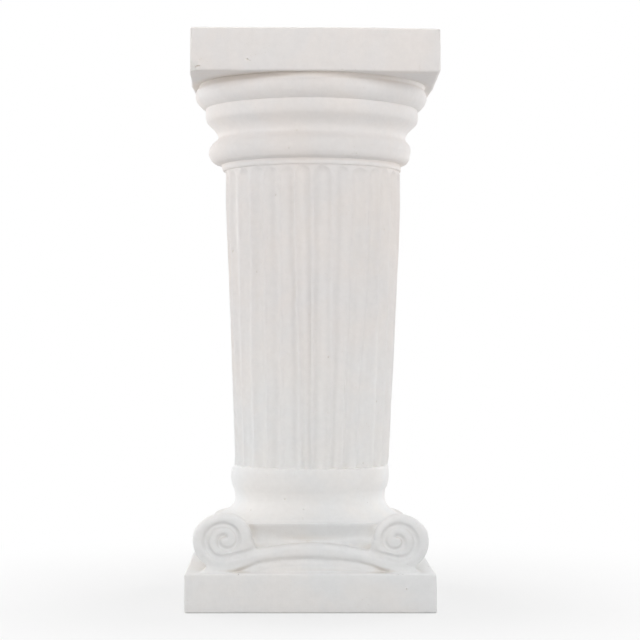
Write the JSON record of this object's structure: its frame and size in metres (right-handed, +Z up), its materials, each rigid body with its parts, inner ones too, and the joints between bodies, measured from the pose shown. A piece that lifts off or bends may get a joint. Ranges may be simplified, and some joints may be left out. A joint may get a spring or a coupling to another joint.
{
  "type": "plaster pedestal column, ionic capital at its foot",
  "caption": "Cast plaster pedestal: a fluted column between two square slabs, set with its scrolled capital down and its ringed base mouldings up.",
  "frame": {"origin": "middle of the foot slab's underside, on the surface that it stands on", "axes": "+Z up, -Y out of the front face with its two scrolls, +X to the viewer's right"},
  "size_m": [0.3, 0.3, 0.7],
  "materials": {
    "plaster": "matte cast plaster, warm white, with small air holes and chips"
  },
  "bodies": {
    "root": {"column": "plaster"}
  },
  "joints": []
}
